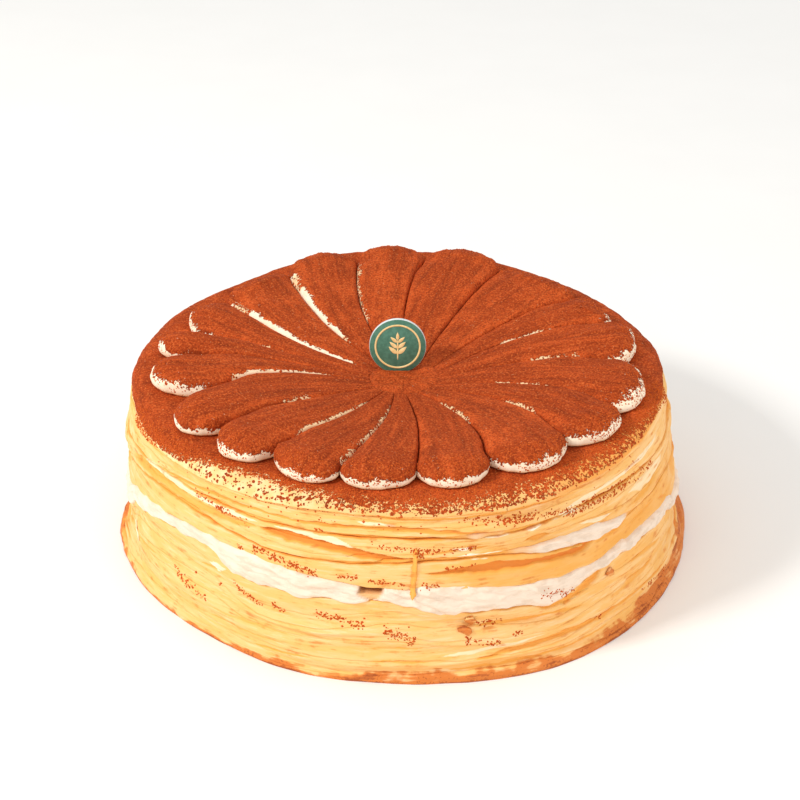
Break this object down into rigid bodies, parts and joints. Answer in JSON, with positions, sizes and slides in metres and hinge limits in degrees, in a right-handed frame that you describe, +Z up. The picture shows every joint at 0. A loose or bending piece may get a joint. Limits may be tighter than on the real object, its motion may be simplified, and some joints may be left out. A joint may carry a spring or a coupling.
{
  "type": "crepe cake",
  "caption": "Round layered crepe cake with cream between the crepes, a flower of piped cream petals under cocoa on top, and a small upright chocolate disc.",
  "frame": {"origin": "on the surface that the cake stands on, at the middle of the stack, given by the mount named base", "axes": "+Z up, -Y towards the front, which the disc's face looks at, +X to the right seen from the front"},
  "size_m": [0.2276, 0.2223, 0.0871],
  "materials": {
    "crepe": "soft baked crepe, pale gold with browned patches, satin",
    "browned_crepe": "crepe browned at its edge, satin",
    "cream": "whipped cream, soft satin",
    "cocoa": "cocoa powder sifted over cream, dusty and matt",
    "disc": "white chocolate with a coloured face, soft gloss"
  },
  "bodies": {
    "root": {"crepe_01": "browned_crepe", "crepe_02": "crepe", "crepe_03": "crepe", "crepe_04": "crepe", "crepe_05": "crepe", "crepe_06": "crepe", "crepe_07": "crepe", "crepe_08": "crepe", "crepe_09": "crepe", "crepe_10": "crepe", "crepe_11": "crepe", "crepe_12": "crepe", "crepe_13": "crepe", "crepe_14": "crepe", "crepe_15": "crepe", "cream_main": "cream", "cream_upper": "cream", "cream_top": "cream", "crepe_top": "cocoa", "petal_01": "cocoa", "petal_02": "cocoa", "petal_03": "cocoa", "petal_04": "cocoa", "petal_05": "cocoa", "petal_06": "cocoa", "petal_07": "cocoa", "petal_08": "cocoa", "petal_09": "cocoa", "petal_10": "cocoa", "petal_11": "cocoa", "petal_12": "cocoa", "petal_13": "cocoa", "petal_14": "cocoa", "petal_15": "cocoa", "petal_16": "cocoa", "petal_17": "cocoa", "petal_18": "cocoa", "cream_centre": "cocoa", "disc": "disc"}
  },
  "joints": []
}
